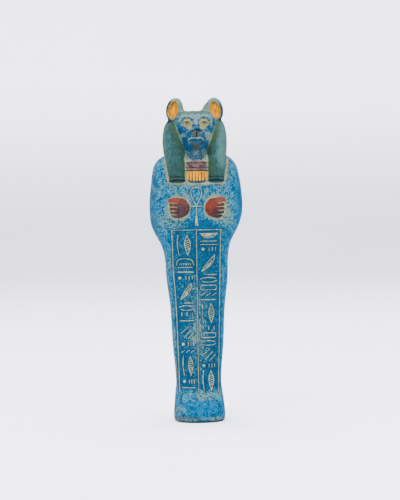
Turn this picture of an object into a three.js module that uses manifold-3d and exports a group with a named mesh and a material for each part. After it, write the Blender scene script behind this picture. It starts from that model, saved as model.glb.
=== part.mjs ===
// Ushabti-style figurine with a lioness's head, carved and painted as one piece.
// Millimetres, +Z up. The figure stands on its sole and looks towards -Y; +X is at the viewer's right.
import * as THREE from "three";
import { LoftGeometry } from "three/addons/geometries/LoftGeometry.js";
import { mergeVertices } from "three/addons/utils/BufferGeometryUtils.js";
import Module from "manifold-3d";

// Driving dimensions
const HEIGHT = 210; // ear tips above the ground
const SHOULDER_TOP = 174;
const CROWN_TOP = 201.2; // top of the wig between the ears
const LAPPET_BOTTOM = 154; // ends of the wig's two front tresses
const PANEL_TOP = 123.2; // upper line of the inscription's frame
const PANEL_BOTTOM = 18.8;
const PANEL_HALF_TOP = 15.9;
const PANEL_HALF_BOTTOM = 13.35;
const PANEL_X = -0.65; // the frame sits a little off the middle
const PANEL_SLIP = 1.1; // its left side slips inwards between these heights
const SLIP_TOP = 93;
const SLIP_END = 78;
const ANKH_X = -0.5; // and so does the ankh
const HAND_Z = 137;
const EYE_Z = 192.4;
const EYE_X = 5.6;
const NOSE_Z = 187.5;

// Carving
const GROOVE_DEPTH = 0.7;
const GROOVE_HALF = 0.55; // half of a groove's width at the surface
const CUTTER_LIFT = 0.6; // how far a cutter stands clear of the surface

// Facets
const BODY_SIDES = 28;
const BODY_STEP = 11; // tallest gap between two rings of the body
const HEAD_SIDES = 20;
const TRESS_SIDES = 12;
const SMALL_SIDES = 8;
const SMALL_RINGS = 5;

// How square a section is: 2 is an ellipse, more is a box with rounder or tighter corners.
const BODY_SQUARE = 2.5;
const HEAD_SQUARE = 2.25;
const TRESS_SQUARE = 3;

// The wrapped body from the sole to the top of the shoulders. The left elbow hangs lower than the right
// one, which moves the middle of a section, x, off the axis.
const BODY = [
  { z: 0, half: 15.7, front: 23.8, back: 13.2 }, // sole
  { z: 1.6, half: 16.7, front: 24.8, back: 14 },
  { z: 7.5, half: 16.6, front: 24.5, back: 14 }, // toes
  { z: 12.5, half: 16.1, front: 22.4, back: 14 },
  { z: 17, half: 15.6, front: 17.8, back: 14 }, // instep
  { z: 23.5, half: 14.9, front: 13.4, back: 14.2 },
  { z: 32, half: 15.2, front: 12.2, back: 14.6 }, // shins
  { z: 51, half: 16.8, front: 12.5, back: 15.2 },
  { z: 73, half: 17.9, front: 13.2, back: 15.2 }, // knees
  { z: 91, half: 20, front: 14.2, back: 16.2 },
  { z: 106.5, x: -0.25, half: 20.9, front: 15.2, back: 17.2 }, // hips
  { z: 115, x: -0.8, half: 22.9, front: 16.2, back: 17.4 },
  { z: 121, x: -1, half: 26.1, front: 17.2, back: 17.6 },
  { z: 127, x: -0.75, half: 28.8, front: 18.2, back: 18 },
  { z: 133, x: -0.25, half: 30.1, front: 19, back: 18.4 }, // elbows
  { z: 139.5, half: 30.5, front: 19.5, back: 18.8 },
  { z: 148, half: 30, front: 19.6, back: 19.2 },
  { z: 156, half: 29, front: 19.3, back: 19.2 }, // chest
  { z: 163, x: -0.25, half: 27.8, front: 18.3, back: 18.6 },
  { z: 167, x: -0.3, half: 26.3, front: 17.1, back: 17.6 }, // shoulders
  { z: 170, x: -0.3, half: 23.9, front: 15.6, back: 15.8 },
  { z: 172.4, half: 19.8, front: 13, back: 13 },
  { z: SHOULDER_TOP, half: 13, front: 9, back: 9 },
];

// The wig's rounded cap.
const WIG = [
  { z: 165, half: 17.8, front: 8, back: 19.6 },
  { z: 171, half: 19.9, front: 8.5, back: 20.2 },
  { z: 176, half: 20.9, front: 9, back: 20.4 },
  { z: 181, half: 21.3, front: 9.4, back: 20.3 },
  { z: 186, half: 21.1, front: 9.5, back: 19.9 },
  { z: 190.5, half: 20.3, front: 9.2, back: 18.8 },
  { z: 194.5, half: 18.6, front: 8.6, back: 16.8 },
  { z: 197.8, half: 15.2, front: 7.6, back: 14 },
  { z: 200, half: 10.8, front: 6, back: 10 },
  { z: CROWN_TOP, half: 5, front: 3, back: 4 },
];

// The tress that hangs down the back; its upper end sinks into the cap.
const BACK_TRESS = [
  { z: 151, half: 12.3, front: -10, back: 20.7 },
  { z: 153, half: 13, front: -10, back: 21.3 },
  { z: 162, half: 14.2, front: -10, back: 21.4 },
  { z: 172, half: 15.2, front: -10, back: 21.2 },
  { z: 180, half: 15.6, front: -10, back: 20.6 },
  { z: 187, half: 14.2, front: -10, back: 18.6 },
  { z: 192, half: 10.6, front: -10, back: 15 },
];

// One of the two tresses in front: x is the middle of its width. Its upper end sinks into the cap.
const FRONT_TRESS = [
  { z: LAPPET_BOTTOM, x: 12.4, half: 4.5, front: 22.2, back: -10 },
  { z: 155.4, x: 12.45, half: 4.75, front: 22.7, back: -10 },
  { z: 160, x: 12.8, half: 5.1, front: 22.3, back: -9 },
  { z: 166, x: 13.3, half: 5.6, front: 20.6, back: -7 },
  { z: 172, x: 13.7, half: 6, front: 17.6, back: -4 },
  { z: 178, x: 13.9, half: 6.4, front: 15, back: -2 },
  { z: 184, x: 13.6, half: 6.7, front: 12.8, back: 0 },
  { z: 189, x: 12.8, half: 6.4, front: 10.6, back: 0 },
  { z: 193, x: 11.4, half: 5.4, front: 7.6, back: 0 },
  { z: 196.5, x: 9.6, half: 3.6, front: 4, back: 0 },
];

// The face from the throat to the forehead, as one tapering mask.
const FACE = [
  { z: 167.6, half: 5.5, front: 17.4, back: 0 }, // throat
  { z: 169, half: 5.9, front: 18, back: 0 },
  { z: 173, half: 6.5, front: 18.2, back: 0 },
  { z: 177.5, half: 8, front: 18.8, back: 0 }, // chin
  { z: 180.5, half: 9.1, front: 19.3, back: 0 },
  { z: 184, half: 10.4, front: 19.4, back: 0 }, // cheeks
  { z: 188.4, half: 11.8, front: 18.4, back: 0 },
  { z: 193, half: 12.6, front: 16.4, back: 0 },
  { z: 196.6, half: 12.2, front: 13.8, back: 0 }, // forehead
  { z: 199.4, half: 10.4, front: 11.2, back: 0 },
  { z: 200.9, half: 6.5, front: 7, back: 0 },
];

const wasm = await Module();
wasm.setup();

// A closed geometry as a solid that can be joined and cut.
function solid(geometry) {
  const bare = new THREE.BufferGeometry().setAttribute("position", geometry.getAttribute("position"));
  bare.setIndex(geometry.index);
  const merged = mergeVertices(bare, 1e-4);
  const triVerts = [];
  for (let i = 0; i < merged.index.count; i += 3) {
    const corner = [0, 1, 2].map((k) => merged.index.getX(i + k));
    if (new Set(corner).size === 3) triVerts.push(...corner);
  }
  const mesh = new wasm.Mesh({
    numProp: 3,
    vertProperties: merged.attributes.position.array,
    triVerts: new Uint32Array(triVerts),
  });
  return new wasm.Manifold(mesh);
}

function join(solids) {
  return solids.reduce((sum, next) => sum.add(next));
}

// Value of one measure of a row of stations at height z, on a smooth curve through all of them. A measure
// that a station leaves out is 0.
function at(stations, key, z) {
  const last = stations.length - 1;
  const value = (k) => stations[k][key] ?? 0;
  let i = stations.findIndex((s) => s.z > z) - 1;
  if (i < 0) i = z <= stations[0].z ? 0 : last - 1;
  const slope = (k) => {
    const a = Math.max(k - 1, 0);
    const b = Math.min(k + 1, last);
    return (value(b) - value(a)) / (stations[b].z - stations[a].z);
  };
  const gap = stations[i + 1].z - stations[i].z;
  const t = THREE.MathUtils.clamp((z - stations[i].z) / gap, 0, 1);
  const h = 1 - t;
  return (
    h * h * (1 + 2 * t) * value(i) +
    t * t * (3 - 2 * t) * value(i + 1) +
    h * h * t * gap * slope(i) -
    t * t * h * gap * slope(i + 1)
  );
}

const SIZES = ["x", "half", "front", "back"];
const bent = (value, power) => Math.sign(value) * Math.abs(value) ** power;

// One ring of points: a rounded section between its front and back, seen from above.
function ring(z, { x, half, front, back }, sides, square) {
  const depth = (front + back) / 2;
  const middle = (back - front) / 2;
  return Array.from({ length: sides }, (_, i) => {
    const angle = (i / sides) * 2 * Math.PI;
    const across = bent(Math.cos(angle), 2 / square);
    const along = bent(Math.sin(angle), 2 / square);
    return new THREE.Vector3(x + half * across, middle + depth * along, z);
  });
}

// A closed form lofted through a row of stations, with at most `step` between two rings.
function form(stations, sides, square, step) {
  const heights = [stations[0].z];
  for (let i = 1; i < stations.length; i++) {
    const gap = stations[i].z - stations[i - 1].z;
    const parts = Math.max(1, Math.round(gap / step));
    for (let k = 1; k <= parts; k++) heights.push(stations[i - 1].z + (gap * k) / parts);
  }
  const rings = heights.map((z) => {
    const size = Object.fromEntries(SIZES.map((key) => [key, at(stations, key, z)]));
    return ring(z, size, sides, square);
  });
  return solid(new LoftGeometry(rings, { capStart: true, capEnd: true }));
}

function mirrored(stations) {
  return stations.map((s) => ({ ...s, x: -s.x }));
}

function ellipsoid(centre, radii, turn = [0, 0, 0], sides = SMALL_SIDES, rings = SMALL_RINGS) {
  const geometry = new THREE.SphereGeometry(1, sides, rings);
  geometry.rotateX(Math.PI / 2).scale(...radii);
  geometry.rotateX(turn[0]).rotateY(turn[1]).rotateZ(turn[2]);
  return solid(geometry.translate(...centre));
}

// A round-ended bar between two points.
function bar(from, to, radius, sides = 6) {
  const a = new THREE.Vector3(...from);
  const b = new THREE.Vector3(...to);
  const way = b.clone().sub(a);
  const geometry = new THREE.CapsuleGeometry(radius, way.length(), 2, sides);
  const upright = new THREE.Vector3(0, 1, 0);
  geometry.applyQuaternion(new THREE.Quaternion().setFromUnitVectors(upright, way.normalize()));
  const middle = a.add(b).multiplyScalar(0.5);
  return solid(geometry.translate(middle.x, middle.y, middle.z));
}

// Front surface of the body at a place, as its Y.
function bodyFront(x, z) {
  const front = at(BODY, "front", z);
  const back = at(BODY, "back", z);
  const share = Math.min(Math.abs(x - at(BODY, "x", z)) / at(BODY, "half", z), 1);
  return (back - front) / 2 - ((front + back) / 2) * (1 - share ** BODY_SQUARE) ** (1 / BODY_SQUARE);
}

// Wig: cap, tress at the back and two tresses in front
function wig() {
  const cap = form(WIG, HEAD_SIDES, HEAD_SQUARE, 4);
  const back = form(BACK_TRESS, TRESS_SIDES, TRESS_SQUARE, 10);
  const fronts = [FRONT_TRESS, mirrored(FRONT_TRESS)].map((s) => form(s, TRESS_SIDES, TRESS_SQUARE, 7));
  return join([cap, back, ...fronts]);
}

// Lioness's face: mask, muzzle with two pads, chin, nose and its bridge, brows and eyes
function face() {
  const mask = form(FACE, HEAD_SIDES, HEAD_SQUARE, 5);
  const muzzle = ellipsoid([0, -18.4, NOSE_Z - 4.1], [6.9, 5.8, 5.4], [0, 0, 0], 12, 8);
  const chin = ellipsoid([0, -18.2, NOSE_Z - 8.9], [4.6, 4.4, 2.9]);
  const nose = ellipsoid([0, -23.5, NOSE_Z], [3, 1.6, 1.5]);
  const bridge = bar([0, -13, NOSE_Z + 8.5], [0, -21.6, NOSE_Z + 1.1], 1.9);
  const sides = [-1, 1].flatMap((side) => [
    ellipsoid([side * 3.2, -21, NOSE_Z - 3.8], [3.6, 3.3, 3.1]),
    ellipsoid([side * EYE_X, -14.9, EYE_Z], [2.7, 2, 2.2]),
    bar([side * 1.8, -15.4, EYE_Z + 2.8], [side * 6, -13.8, EYE_Z + 4.2], 1.1),
    bar([side * 6, -13.8, EYE_Z + 4.2], [side * 10.2, -10.9, EYE_Z + 2.4], 1.1),
  ]);
  return join([mask, muzzle, chin, nose, bridge, ...sides]);
}

// Ear: a standing shell, hollow in front, turned outwards and leaning in at its tip
function ear(side) {
  const HALF_HEIGHT = 8.3;
  const centre = [side * 13.2, -3.4, HEIGHT - HALF_HEIGHT + 0.1];
  const turn = [0, -side * 0.2, side * 0.45];
  const HOLLOW_X = side < 0 ? 0.2 : -0.9; // the hollow's middle across the ear
  const out = new THREE.Vector3(HOLLOW_X, -2.9, -0.2).applyEuler(new THREE.Euler(0, 0, turn[2]));
  const hollow = [centre[0] + out.x, centre[1] + out.y, centre[2] + out.z];
  const shell = ellipsoid(centre, [6.2, 3.7, HALF_HEIGHT], turn, 14, 8);
  return shell.subtract(ellipsoid(hollow, [4.8, 3.4, 6.7], turn, 12, 6));
}

// Foot of the right ear, which runs further onto the crown than the left one's
function earFoot() {
  return ellipsoid([8.1, -3.2, 202.6], [3, 2.6, 5.6], [0, 0.54, 0.3], 10, 6);
}

// Collar under the chin: a band over a row of hanging petals
function collar() {
  const BAND = [
    { z: 161.4, half: 9, front: 19.8, back: -8 },
    { z: 164.2, half: 9, front: 19.3, back: -8 },
    { z: 167, half: 8.6, front: 18.3, back: -8 },
  ];
  const PETALS = 7;
  const PETAL_PITCH = 2;
  const PETAL_Z = 156.9;
  const petals = Array.from({ length: PETALS }, (_, i) => {
    const x = (i - (PETALS - 1) / 2) * PETAL_PITCH;
    const z = PETAL_Z + 0.03 * x * x;
    return ellipsoid([x, bodyFront(x, z) - 0.3, z], [1.15, 1.7, 3.2], [0, 0, 0], 8, 4);
  });
  return join([form(BAND, TRESS_SIDES, HEAD_SQUARE, 4), ...petals]);
}

// Fist on the chest: a rounded back with the thumb along its top and four fingers to the outside
function hand(side) {
  const KNUCKLE_X = 10.5;
  const FINGER_TOP = HAND_Z + 2.2;
  const FINGER_PITCH = 2.45;
  const FINGER_RADIUS = 1.15;
  const FINGER_END = 15.6; // the upper finger's; each one below is a little shorter
  const on = (x, z, lift) => [side * x, bodyFront(x, z) - lift, z];
  const back = ellipsoid(on(10.1, HAND_Z + 0.4, 0), [5, 2.9, 5.5], [0, 0, 0], 10, 6);
  const thumb = bar(on(8.6, HAND_Z + 4.8, 1), on(18.3, HAND_Z + 5.1, 0.4), FINGER_RADIUS);
  const fingers = [0, 1, 2, 3].map((i) => {
    const z = FINGER_TOP - i * FINGER_PITCH;
    return bar(on(KNUCKLE_X, z, 0.9), on(FINGER_END - 0.3 * i, z, 0.5), FINGER_RADIUS);
  });
  return join([back, thumb, ...fingers]);
}

// A V-shaped cutter along points [x, z] that lie on the front of the body.
function groove(points, half = GROOVE_HALF, depth = GROOVE_DEPTH) {
  const flat = points.map(([x, z]) => new THREE.Vector2(x, z));
  const last = flat.length - 1;
  const sections = flat.map((p, i) => {
    const way = flat[Math.min(i + 1, last)].clone().sub(flat[Math.max(i - 1, 0)]).normalize();
    const spread = (half * (CUTTER_LIFT + depth)) / depth;
    const y = bodyFront(p.x, p.y);
    const across = way.multiplyScalar(spread);
    const side = (s) => new THREE.Vector3(p.x - s * across.y, y - CUTTER_LIFT, p.y + s * across.x);
    return [side(1), side(-1), new THREE.Vector3(p.x, y + depth, p.y)];
  });
  return solid(new LoftGeometry(sections, { capStart: true, capEnd: true }));
}

// Points of a straight line on the front, close enough together to follow its curve.
function line(from, to, step = 15) {
  const a = new THREE.Vector2(...from);
  const b = new THREE.Vector2(...to);
  const parts = Math.max(1, Math.round(a.distanceTo(b) / step));
  return Array.from({ length: parts + 1 }, (_, i) => a.clone().lerp(b, i / parts).toArray());
}

// Points of an arc, with angles in quarter turns from +X towards +Z.
function arc(centre, radii, from, to, parts = 6) {
  return Array.from({ length: parts + 1 }, (_, i) => {
    const angle = ((from + ((to - from) * i) / parts) * Math.PI) / 2;
    return [centre[0] + radii[0] * Math.cos(angle), centre[1] + radii[1] * Math.sin(angle)];
  });
}

// Ankh between the hands: a drop-shaped loop, a short bar and a flared stem
function ankh() {
  const LOOP_TOP = 150.5;
  const LOOP_HALF = 3.3;
  const CROSS_Z = 138.5;
  const STEM_END = 125.9;
  const crown = LOOP_TOP - LOOP_HALF;
  const end = [ANKH_X, CROSS_Z + 0.4];
  const loop = [end, ...arc([ANKH_X, crown], [LOOP_HALF, LOOP_HALF], -0.25, 2.25, 8), end];
  return [
    groove(loop.slice(0, 6)),
    groove(loop.slice(5)),
    groove([[ANKH_X - 3.5, CROSS_Z], [ANKH_X + 3.5, CROSS_Z]]),
    groove([[ANKH_X, CROSS_Z + 0.6], [ANKH_X, STEM_END]]),
    groove([[ANKH_X - 1, STEM_END], [ANKH_X + 1, STEM_END]]),
  ];
}

// Width of one column of the inscription's frame at height z, on the left (-1) or the right (1).
function panelHalf(z, side) {
  const half = THREE.MathUtils.mapLinear(z, PANEL_TOP, PANEL_BOTTOM, PANEL_HALF_TOP, PANEL_HALF_BOTTOM);
  const slipped = THREE.MathUtils.clamp((SLIP_TOP - z) / (SLIP_TOP - SLIP_END), 0, 1);
  return side < 0 ? half - PANEL_SLIP * slipped : half;
}

// Frame of the inscription: an upper line, two sides and the line between its columns
function frame() {
  const top = PANEL_HALF_TOP + 0.4;
  const side = (s) => {
    const middle = line([PANEL_X, PANEL_TOP], [PANEL_X, PANEL_BOTTOM]);
    return middle.map(([x, z]) => [x + s * panelHalf(z, s), z]);
  };
  return [
    groove(line([PANEL_X - top, PANEL_TOP], [PANEL_X + top, PANEL_TOP], 8)),
    groove(side(-1)),
    groove(side(1)),
    groove(side(0)),
  ];
}

// Marks of the inscription: plain strokes, none of them a letter or sign. Each gives lines of points [u, v],
// with u from -1 to 1 across its column and v in millimetres above the middle of its row.
const TICK = (u) => [[u, 1.2], [u, -1.2]];
const MARKS = {
  bar: [[[-0.8, 0], [0.8, 0]]],
  pair: [[[-0.8, 1.1], [0.8, 1.1]], [[-0.8, -1.1], [0.8, -1.1]]],
  ticks: [-0.6, 0, 0.6].map(TICK),
  dotted: [[[-0.7, 0], [-0.45, 0]], ...[0.05, 0.37, 0.69].map(TICK)],
  arcs: [
    [[-0.85, 0.5], [-0.4, 1.5], [0.35, 1.5], [0.7, 0.7]],
    [[-0.7, -0.7], [-0.35, -1.5], [0.4, -1.5], [0.85, -0.5]],
  ],
  ring: [1.5, -1.5].map((v) => [[-0.8, 0], [-0.6, v], [0.6, v], [0.8, 0]]),
  cup: [[[-0.85, 1.6], [0.85, 1.6]], [[-0.65, 0.3], [-0.35, -1.1], [0.35, -1.1], [0.65, 0.3]]],
  arch: [[[-0.85, -1.6], [-0.5, 1.4], [0, 2.2], [0.5, 1.4], [0.85, -1.6]], [[-0.7, -3.2], [0.7, -3.2]]],
  slants: [-0.6, 0, 0.6].map((u) => [[u - 0.2, -0.8], [u + 0.2, 0.8]]),
  sprig: [[[-0.75, -1], [0.1, 3.2]], [[-0.4, -3.6], [0.45, 1.6]], [[0.1, -4.4], [0.75, -0.6]]],
  reeds: [
    [[-0.6, 6.3], [-0.72, 0], [-0.55, -6.3]],
    ...[-0.08, 0.66].map((u) => [[0.25, 6.2], [u, 0.6], [0.3, -6.2]]),
  ],
  plume: [
    [[0.6, 6.4], [-0.1, 2], [-0.7, -4.2]],
    [[0.6, 6.4], [0.45, 0.8], [-0.7, -4.2]],
    [[-0.3, -6.2], [0.8, -6.2]],
  ],
};

// Marks from the top of each column down, with the height of their middle.
const COLUMNS = [
  {
    side: -1,
    rows: [
      ["reeds", 113.5], ["arch", 102.4], ["bar", 96.2], ["dotted", 92.4], ["plume", 82.4], ["arcs", 73],
      ["ticks", 69], ["bar", 64.8], ["sprig", 57.6], ["dotted", 49.6], ["slants", 45], ["reeds", 35.6],
      ["dotted", 25.6], ["bar", 21.8],
    ],
  },
  {
    side: 1,
    rows: [
      ["cup", 119.2], ["pair", 114.8], ["dotted", 110.8], ["plume", 100.6], ["arcs", 91], ["ring", 86],
      ["slants", 81.6], ["bar", 78.2], ["reeds", 69.4], ["ticks", 60], ["ring", 55.2], ["arcs", 50.2],
      ["sprig", 43], ["dotted", 35.6], ["reeds", 26.2],
    ],
  },
];

// Inscription: every mark cut in its own place on its column
function inscription() {
  return COLUMNS.flatMap(({ side, rows }) =>
    rows.flatMap(([mark, middle]) =>
      MARKS[mark].map((stroke) =>
        groove(
          stroke.map(([u, v]) => {
            const columnHalf = panelHalf(middle + v, side) / 2;
            const clear = columnHalf - 1.1;
            return [PANEL_X + side * columnHalf + u * clear, middle + v];
          }),
        ),
      ),
    ),
  );
}

const raised = join([
  form(BODY, BODY_SIDES, BODY_SQUARE, BODY_STEP),
  wig(),
  face(),
  ear(-1),
  ear(1),
  earFoot(),
  collar(),
  hand(-1),
  hand(1),
]);
const carved = raised.subtract(join([...ankh(), ...frame(), ...inscription()]));

// The carved solid as one mesh, set down with the middle of its outline over the origin.
const cut = carved.getMesh();
const geometry = new THREE.BufferGeometry();
geometry.setAttribute("position", new THREE.BufferAttribute(cut.vertProperties, 3));
geometry.setIndex(new THREE.BufferAttribute(cut.triVerts, 1));
geometry.computeBoundingBox();
const middle = geometry.boundingBox.getCenter(new THREE.Vector3());
geometry.translate(-middle.x, -middle.y, -geometry.boundingBox.min.z);
geometry.computeVertexNormals();

const paint = new THREE.MeshStandardMaterial({ color: 0x2484b4, roughness: 0.55, metalness: 0 });
const figurine = new THREE.Mesh(geometry, paint);
figurine.name = "figurine";

const group = new THREE.Group();
group.add(figurine);

export default group;
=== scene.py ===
"""A carved and painted stone figurine of an ushabti with a lioness's head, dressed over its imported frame."""
import logging
import math
from dataclasses import dataclass, field
from enum import Enum

import bpy
import numpy as np
from mathutils import Euler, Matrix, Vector, noise


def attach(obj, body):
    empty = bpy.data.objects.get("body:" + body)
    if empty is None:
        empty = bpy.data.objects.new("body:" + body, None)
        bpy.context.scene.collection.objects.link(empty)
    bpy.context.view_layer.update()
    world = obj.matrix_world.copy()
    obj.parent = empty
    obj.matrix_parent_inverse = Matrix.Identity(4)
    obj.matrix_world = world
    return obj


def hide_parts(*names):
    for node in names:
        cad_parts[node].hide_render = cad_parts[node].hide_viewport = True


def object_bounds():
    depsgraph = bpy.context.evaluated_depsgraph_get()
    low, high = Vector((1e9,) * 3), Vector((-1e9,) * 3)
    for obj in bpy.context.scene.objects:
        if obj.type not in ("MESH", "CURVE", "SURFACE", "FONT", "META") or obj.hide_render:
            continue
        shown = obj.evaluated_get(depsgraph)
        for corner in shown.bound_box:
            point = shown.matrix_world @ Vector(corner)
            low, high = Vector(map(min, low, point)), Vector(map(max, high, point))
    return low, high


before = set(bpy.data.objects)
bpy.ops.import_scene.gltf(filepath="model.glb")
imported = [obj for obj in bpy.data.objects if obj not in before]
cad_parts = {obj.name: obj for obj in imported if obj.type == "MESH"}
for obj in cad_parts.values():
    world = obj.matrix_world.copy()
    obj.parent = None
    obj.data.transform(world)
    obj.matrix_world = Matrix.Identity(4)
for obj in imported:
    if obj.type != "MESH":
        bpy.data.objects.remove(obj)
CAD_BOX = [list(corner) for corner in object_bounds()]

LOG = logging.getLogger("figurine")
MM = 0.001
OUTLINE_SHIFT = 1.81  # mm from the body's axis to the middle of the outline, along Y
SIDES = (-1, 1)
TINY = 1e-3

Point = tuple[float, float]
Place = tuple[float, float, float]
Socket = bpy.types.NodeSocket


def smooth(low: float, high: float, value: np.ndarray) -> np.ndarray:
    """Return shares that rise smoothly from 0 at `low` to 1 at `high`, which may lie below it."""
    share = np.clip((value - low) / (high - low), 0.0, 1.0)
    return share * share * (3.0 - 2.0 * share)


def rounded(points: tuple[Point, ...], rounds: int = 2) -> list[Point]:
    """Cut the corners of a line of points and keep its ends.

    Args:
        points: The line's points.
        rounds: How often its corners are cut.

    Returns:
        The rounder line's points.
    """
    line = [np.array(p, float) for p in points]
    for _ in range(rounds if len(line) > 2 else 0):
        cut = [line[0]]
        for a, b in zip(line, line[1:]):
            cut += [0.75 * a + 0.25 * b, 0.25 * a + 0.75 * b]
        line = cut + [line[-1]]
    return [(float(p[0]), float(p[1])) for p in line]


def mirror(points: tuple[Point, ...]) -> tuple[Point, ...]:
    """Return the points of a line on the other side of the middle."""
    return tuple((-x, z) for x, z in points)


def least(*fields: np.ndarray) -> np.ndarray:
    """Return the smallest of some fields at each point."""
    return np.minimum.reduce(fields)


def most(*fields: np.ndarray) -> np.ndarray:
    """Return the largest of some fields at each point."""
    return np.maximum.reduce(fields)


def read(items: bpy.types.bpy_prop_collection, key: str) -> np.ndarray:
    """Read a vector of each item of a mesh.

    Args:
        items: Vertices, polygons or normals.
        key: Name of the vector.

    Returns:
        The vectors, one per row.
    """
    flat = np.zeros(len(items) * 3)
    items.foreach_get(key, flat)
    return flat.reshape(-1, 3)


def deselect() -> None:
    """Leave nothing selected."""
    bpy.ops.object.select_all(action="DESELECT")


class Zone(Enum):
    """Painted zones, traces of use, and painted shade and highlights, each kept as an attribute of the mesh's
    points.
    """

    WIG = "wig"
    WIG_SHADE = "wig_shade"
    OLIVE = "olive"
    FACE = "face"
    DEEP_AND_SHADE = "deep"
    PALE_AND_HIGHLIGHT = "pale"
    EAR = "ear"
    GOLD = "gold"
    HAND = "hand"
    RED = "red"
    BAND = "band"
    PANEL = "panel"
    EYE = "eye"
    INK_AND_SHADE = "ink_and_shade"
    CREAM = "cream"
    TAN = "tan"
    WORN = "worn"


@dataclass(frozen=True)
class Station:
    """One level of a lofted form: half its width, and its reach to the front and back, in mm."""

    z: float
    half: float
    front: float
    back: float
    x: float = 0.0


@dataclass(frozen=True)
class Loft:
    """A form drawn through a row of stations, with rounded sections."""

    stations: tuple[Station, ...]
    square: float = 2.25
    step: float = 2.4
    sides: int = 56

    def measure(self, key: str, z: np.ndarray) -> np.ndarray:
        """Read one measure at given heights, on a smooth curve through the stations.

        Args:
            key: Name of the station's field.
            z: Heights in mm.

        Returns:
            The measure at each height.
        """
        heights = np.array([s.z for s in self.stations])
        values = np.array([getattr(s, key) for s in self.stations])
        last = len(heights) - 1
        before = np.maximum(np.arange(last + 1) - 1, 0)
        after = np.minimum(np.arange(last + 1) + 1, last)
        slope = (values[after] - values[before]) / (heights[after] - heights[before])
        i = np.clip(np.searchsorted(heights, z, side="right") - 1, 0, last - 1)
        gap = heights[i + 1] - heights[i]
        t = np.clip((z - heights[i]) / gap, 0.0, 1.0)
        h = 1.0 - t
        start = h * h * (1 + 2 * t) * values[i] + h * h * t * gap * slope[i]
        return start + t * t * (3 - 2 * t) * values[i + 1] - t * t * h * gap * slope[i + 1]

    def front(self, x: float, z: float) -> float:
        """Find the front surface.

        Args:
            x: Place across the form in mm.
            z: Height in mm.

        Returns:
            The surface's Y in mm.
        """
        at = {key: float(self.measure(key, np.array([z]))[0]) for key in ("half", "front", "back", "x")}
        share = min(abs(x - at["x"]) / at["half"], 1.0)
        depth = (at["front"] + at["back"]) / 2
        return (at["back"] - at["front"]) / 2 - depth * (1 - share**self.square) ** (1 / self.square)

    def distance(self, points: np.ndarray) -> np.ndarray:
        """Measure how far points lie outside the form.

        Args:
            points: Points in mm, one per row.

        Returns:
            Distances in mm, negative inside.
        """
        x, y, z = points.T
        low, high = self.stations[0].z, self.stations[-1].z
        depth = (self.measure("front", z) + self.measure("back", z)) / 2
        across = np.abs(x - self.measure("x", z))
        along = np.abs(y - (self.measure("back", z) - self.measure("front", z)) / 2)
        power = self.square
        reach = ((across / self.measure("half", z)) ** power + (along / depth) ** power) ** (1 / power)
        side = np.hypot(across, along) * (1 - 1 / np.maximum(reach, TINY))
        end = np.maximum(low - z, z - high)
        return np.where(end > 0, np.hypot(np.maximum(side, 0), end), np.maximum(side, -50.0))

    def build(self) -> bpy.types.Object:
        """Extrude the form ring by ring from a circle.

        Returns:
            The closed form.
        """
        heights = [self.stations[0].z]
        for a, b in zip(self.stations, self.stations[1:]):
            parts = max(1, round((b.z - a.z) / self.step))
            heights += [a.z + (b.z - a.z) * k / parts for k in range(1, parts + 1)]
        z = np.array(heights)
        back, front = self.measure("back", z), self.measure("front", z)
        wide, deep = self.measure("half", z) * MM, (front + back) / 2 * MM
        middle = np.column_stack([self.measure("x", z), (back - front) / 2, z]) * MM
        deselect()
        bpy.ops.mesh.primitive_circle_add(vertices=self.sides, radius=1.0, fill_type="NGON")
        piece = bpy.context.object
        for v in piece.data.vertices:
            v.co.x = math.copysign(abs(v.co.x) ** (2 / self.square), v.co.x)
            v.co.y = math.copysign(abs(v.co.y) ** (2 / self.square), v.co.y)
        bpy.ops.object.mode_set(mode="EDIT")
        bpy.ops.mesh.select_all(action="SELECT")
        bpy.ops.transform.resize(value=(wide[0], deep[0], 1.0), center_override=(0, 0, 0))
        bpy.ops.transform.translate(value=middle[0])
        for k in range(1, len(z)):
            move = {"value": tuple(middle[k] - middle[k - 1]), "orient_type": "GLOBAL"}
            bpy.ops.mesh.extrude_region_move(TRANSFORM_OT_translate=move)
            grow = (wide[k] / wide[k - 1], deep[k] / deep[k - 1], 1.0)
            bpy.ops.transform.resize(value=grow, center_override=tuple(middle[k]))
        bpy.ops.mesh.select_all(action="SELECT")
        bpy.ops.mesh.normals_make_consistent(inside=False)
        bpy.ops.object.mode_set(mode="OBJECT")
        return piece


def loft(*rows: tuple[float, ...], square: float = 2.25) -> Loft:
    """Return a loft through rows of a station's measures."""
    return Loft(tuple(Station(*row) for row in rows), square)


@dataclass(frozen=True)
class Egg:
    """A rounded lump: its middle and radii in mm, and how it is turned."""

    middle: Place
    radii: Place
    turn: Place = (0.0, 0.0, 0.0)

    def local(self, points: np.ndarray) -> np.ndarray:
        """Return points in the lump's own axes, as seen from its middle, in mm."""
        return (points - np.array(self.middle)) @ np.array(Euler(self.turn).to_matrix())

    def distance(self, points: np.ndarray) -> np.ndarray:
        """Measure how far points lie outside the lump, in mm, negative inside."""
        own = self.local(points)
        reach = np.maximum(np.linalg.norm(own / np.array(self.radii), axis=1), TINY)
        return np.linalg.norm(own, axis=1) * (1 - 1 / reach)

    def build(self) -> bpy.types.Object:
        """Add the lump at its size and place.

        Returns:
            The closed lump.
        """
        deselect()
        bpy.ops.mesh.primitive_uv_sphere_add(
            segments=32,
            ring_count=20,
            radius=1.0,
            location=[c * MM for c in self.middle],
            rotation=self.turn,
            scale=[r * MM for r in self.radii],
        )
        bpy.ops.object.transform_apply(location=True, rotation=True, scale=True)
        return bpy.context.object


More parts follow.
